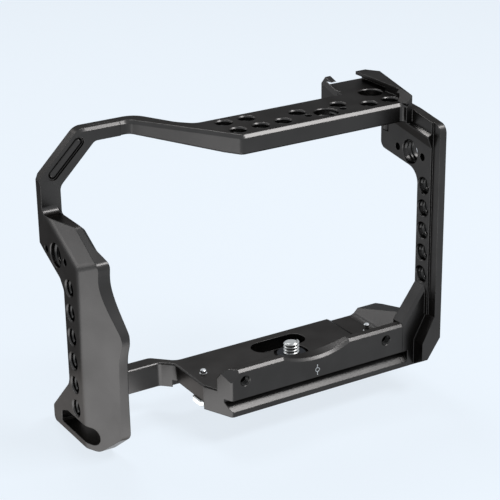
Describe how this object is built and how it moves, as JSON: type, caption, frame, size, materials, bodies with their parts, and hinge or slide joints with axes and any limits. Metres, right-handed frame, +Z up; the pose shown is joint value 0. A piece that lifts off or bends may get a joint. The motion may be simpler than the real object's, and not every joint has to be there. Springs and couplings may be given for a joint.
{
  "type": "camera cage",
  "caption": "Open metal frame that goes round a mirrorless camera, with threaded accessory holes, cold shoe, dovetail base and captive camera screw.",
  "frame": {"origin": "axis of the camera screw, on the seat that the camera stands on", "axes": "+Z up out of the seat, -Y towards the lens side, +X towards the wall beside the camera's sockets, so the hand grip is at -X"},
  "size_m": [0.1497, 0.0658, 0.1207],
  "materials": {
    "black_anodised": "black satin anodised",
    "bright_steel": "turned stainless steel",
    "dark_steel": "black oxide",
    "magnet_nickel": "nickel plated"
  },
  "bodies": {
    "frame": {"top_plate": "black_anodised", "port_plate": "black_anodised", "base_plate": "black_anodised", "grip_plate": "black_anodised", "locating_pins": "bright_steel", "driver_magnets": "magnet_nickel", "top_joint_screws": "dark_steel", "base_joint_screws": "dark_steel", "base_joint_dowels": "bright_steel", "grip_joint_screws": "dark_steel", "arm_joint_screws": "dark_steel"},
    "clip": {"screw_clip": "bright_steel"},
    "screw": {"camera_screw": "bright_steel"},
    "driver": {"screwdriver": "bright_steel"}
  },
  "joints": [
    {"name": "screw_drop", "type": "slide", "parent": "frame", "child": "clip", "axis": [0, 0, 1], "range_m": [-0.002, 0]},
    {"name": "screw_turn", "type": "hinge", "parent": "clip", "child": "screw", "pos_m": [0, 0, 0], "axis": [0, 0, 1], "continuous": true},
    {"name": "driver_pull", "type": "slide", "parent": "frame", "child": "driver", "axis": [-1, 0, 0], "range_m": [0, 0.03]}
  ]
}
